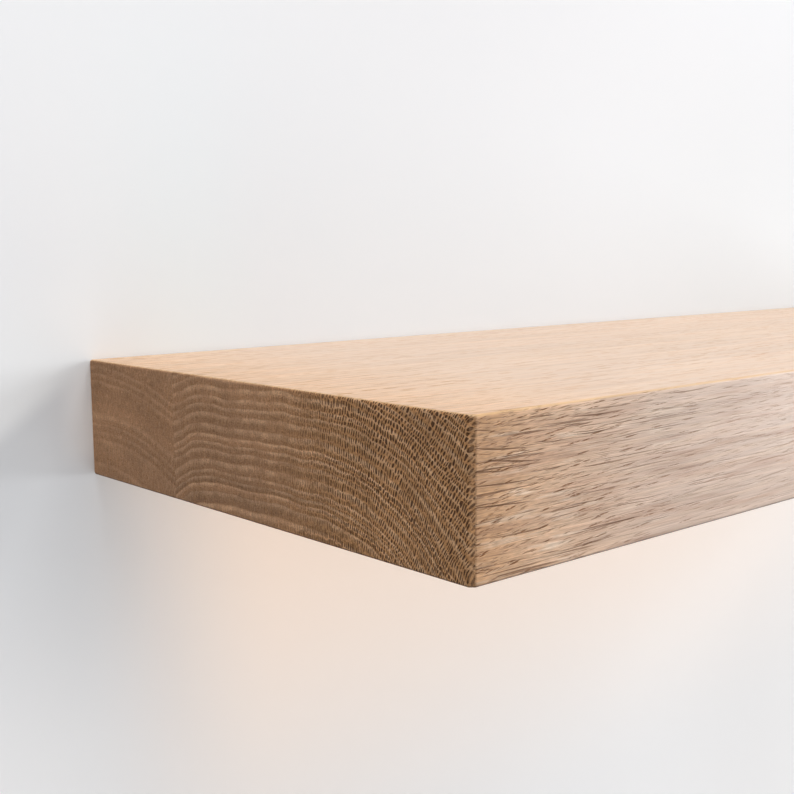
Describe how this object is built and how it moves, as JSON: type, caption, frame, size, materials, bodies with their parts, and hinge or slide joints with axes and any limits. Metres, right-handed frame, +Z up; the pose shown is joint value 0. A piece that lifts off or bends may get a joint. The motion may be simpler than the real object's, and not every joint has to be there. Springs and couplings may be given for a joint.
{
  "type": "floating wall shelf",
  "caption": "Thick solid-oak floating wall shelf that slides onto the rods of a concealed steel wall bracket and is locked by set screws in its underside.",
  "frame": {"origin": "on the wall plane, at the middle of the shelf's length and thickness, which is the back face of the bracket's bar", "axes": "+X along the shelf's length, to the right as seen from the room; +Y into the wall, so the front edge faces -Y; +Z up"},
  "size_m": [0.6, 0.229, 0.04],
  "materials": {
    "oak": "matt, open-grained, clear oiled",
    "black_steel": "fine black powder coat",
    "zinc_steel": "bright zinc plate",
    "nylon": "moulded grey nylon",
    "brass": "turned, satin"
  },
  "bodies": {
    "wall_bracket": {"wall_bar": "black_steel", "support_rod_1": "black_steel", "support_rod_2": "black_steel", "support_rod_3": "black_steel", "weld_bead_1": "black_steel", "weld_bead_2": "black_steel", "weld_bead_3": "black_steel", "wall_screw_1": "zinc_steel", "wall_screw_2": "zinc_steel", "wall_screw_3": "zinc_steel", "wall_screw_4": "zinc_steel", "wall_screw_5": "zinc_steel", "wall_screw_6": "zinc_steel", "wall_plug_1": "nylon", "wall_plug_2": "nylon", "wall_plug_3": "nylon", "wall_plug_4": "nylon", "wall_plug_5": "nylon", "wall_plug_6": "nylon"},
    "shelf_board": {"back_stave": "oak", "front_stave": "oak", "threaded_insert_left": "brass", "threaded_insert_right": "brass"},
    "lock_screw_left": {"lock_screw_left": "zinc_steel"},
    "lock_screw_right": {"lock_screw_right": "zinc_steel"}
  },
  "joints": [
    {"name": "board_slide", "type": "slide", "parent": "wall_bracket", "child": "shelf_board", "axis": [0, -1, 0], "range_m": [0, 0.15]},
    {"name": "lock_screw_left_travel", "type": "slide", "parent": "shelf_board", "child": "lock_screw_left", "axis": [0, 0, -1], "range_m": [0, 0.01]},
    {"name": "lock_screw_right_travel", "type": "slide", "parent": "shelf_board", "child": "lock_screw_right", "axis": [0, 0, -1], "range_m": [0, 0.01]}
  ]
}
